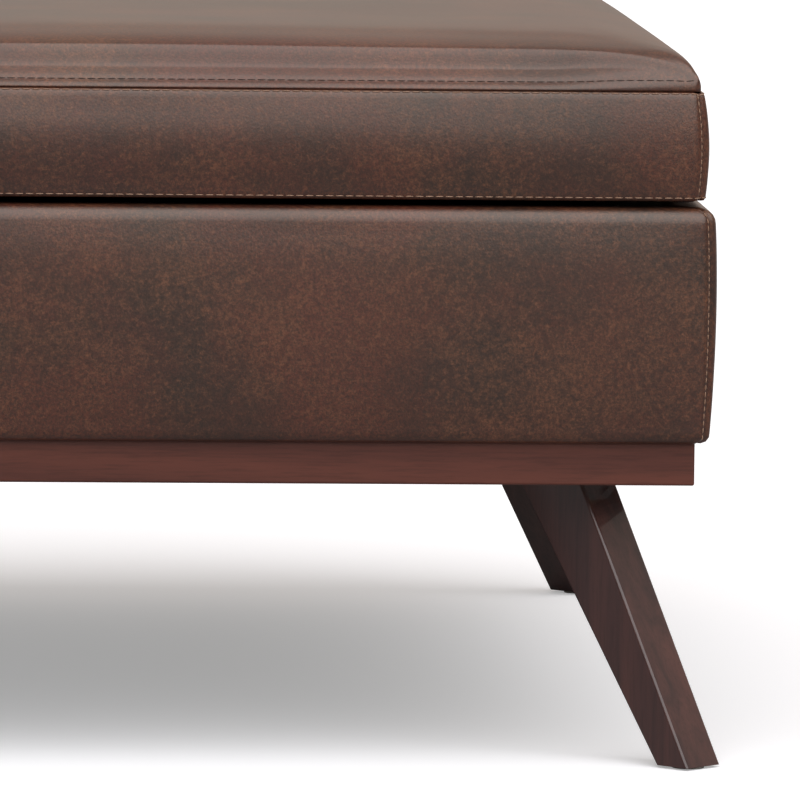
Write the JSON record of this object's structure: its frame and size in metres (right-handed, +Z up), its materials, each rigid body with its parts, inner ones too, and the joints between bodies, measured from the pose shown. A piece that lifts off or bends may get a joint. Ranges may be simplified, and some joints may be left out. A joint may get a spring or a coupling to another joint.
{
  "type": "storage ottoman",
  "caption": "Square upholstered storage ottoman with a hinged padded lid over a shallow box, on a wooden plinth with splayed tapered corner legs.",
  "frame": {"origin": "on the floor, under the middle of the ottoman", "axes": "+Z up, -Y to the front, away from the lid's hinges, +X to the right as seen from the front"},
  "size_m": [0.925, 0.925, 0.4115],
  "materials": {
    "leatherette": "satin",
    "walnut_frame": "satin",
    "espresso_leg": "gloss",
    "birch_ply": "matte",
    "pine": "matte",
    "foam": "matte",
    "lining_fabric": "matte",
    "dust_fabric": "matte",
    "zinc_steel": "satin",
    "glide_plastic": "matte",
    "bumper_rubber": "matte"
  },
  "bodies": {
    "base": {"body_cover_front": "leatherette", "body_cover_left": "leatherette", "body_cover_rear": "leatherette", "body_cover_right": "leatherette", "body_pad_front": "foam", "body_pad_left": "foam", "body_pad_rear": "foam", "body_pad_right": "foam", "bottom_board": "birch_ply", "box_lining": "lining_fabric", "corner_block_front_left": "pine", "corner_block_front_right": "pine", "corner_block_rear_left": "pine", "corner_block_rear_right": "pine", "cross_bearers": "pine", "dust_cover": "dust_fabric", "foot_glides": "glide_plastic", "hinge_box_leaf_left": "zinc_steel", "hinge_box_leaf_right": "zinc_steel", "hinge_pins": "zinc_steel", "leg_front_left": "espresso_leg", "leg_front_right": "espresso_leg", "leg_hanger_bolts": "zinc_steel", "leg_plate_screws": "zinc_steel", "leg_plates": "zinc_steel", "leg_rear_left": "espresso_leg", "leg_rear_right": "espresso_leg", "panel_front": "birch_ply", "panel_left": "birch_ply", "panel_rear": "birch_ply", "panel_right": "birch_ply", "rail_front": "walnut_frame", "rail_left": "walnut_frame", "rail_rear": "walnut_frame", "rail_right": "walnut_frame", "screws_box": "zinc_steel", "stay_box_bracket_left": "zinc_steel", "stay_box_bracket_right": "zinc_steel", "stay_rivets_box": "zinc_steel"},
    "lid": {"lid_board": "birch_ply", "lid_foam": "foam", "lid_cover_top": "leatherette", "lid_band_front": "leatherette", "lid_band_right": "leatherette", "lid_band_rear": "leatherette", "lid_band_left": "leatherette", "lid_lining": "lining_fabric", "lid_bumpers": "bumper_rubber", "screws_lid": "zinc_steel", "hinge_lid_leaf_left": "zinc_steel", "hinge_lid_leaf_right": "zinc_steel", "stay_lid_bracket_left": "zinc_steel", "stay_lid_bracket_right": "zinc_steel", "stay_rivets_lid": "zinc_steel"},
    "stay_lower_left": {"stay_lower_arm_left": "zinc_steel", "stay_elbow_rivet_left": "zinc_steel"},
    "stay_upper_left": {"stay_upper_arm_left": "zinc_steel"},
    "stay_lower_right": {"stay_lower_arm_right": "zinc_steel", "stay_elbow_rivet_right": "zinc_steel"},
    "stay_upper_right": {"stay_upper_arm_right": "zinc_steel"}
  },
  "joints": [
    {"name": "lid_hinge", "type": "hinge", "parent": "base", "child": "lid", "pos_m": [0, 0.454, 0.3217], "axis": [-1, 0, 0], "range_deg": [0, 95]},
    {"name": "stay_lower_left_pivot", "type": "hinge", "parent": "base", "child": "stay_lower_left", "pos_m": [-0.4259, 0.414, 0.2467], "axis": [-1, 0, 0], "range_deg": [0, 95]},
    {"name": "stay_upper_left_pivot", "type": "hinge", "parent": "lid", "child": "stay_upper_left", "pos_m": [-0.4236, 0.264, 0.3097], "axis": [-1, 0, 0], "range_deg": [-95, 0]},
    {"name": "stay_lower_right_pivot", "type": "hinge", "parent": "base", "child": "stay_lower_right", "pos_m": [0.4259, 0.414, 0.2467], "axis": [-1, 0, 0], "range_deg": [0, 95]},
    {"name": "stay_upper_right_pivot", "type": "hinge", "parent": "lid", "child": "stay_upper_right", "pos_m": [0.4236, 0.264, 0.3097], "axis": [-1, 0, 0], "range_deg": [-95, 0]}
  ],
  "couplings": [
    {"joint": "stay_lower_left_pivot", "follows": "lid_hinge", "ratio": 1},
    {"joint": "stay_upper_left_pivot", "follows": "lid_hinge", "ratio": -1},
    {"joint": "stay_lower_right_pivot", "follows": "lid_hinge", "ratio": 1},
    {"joint": "stay_upper_right_pivot", "follows": "lid_hinge", "ratio": -1}
  ]
}
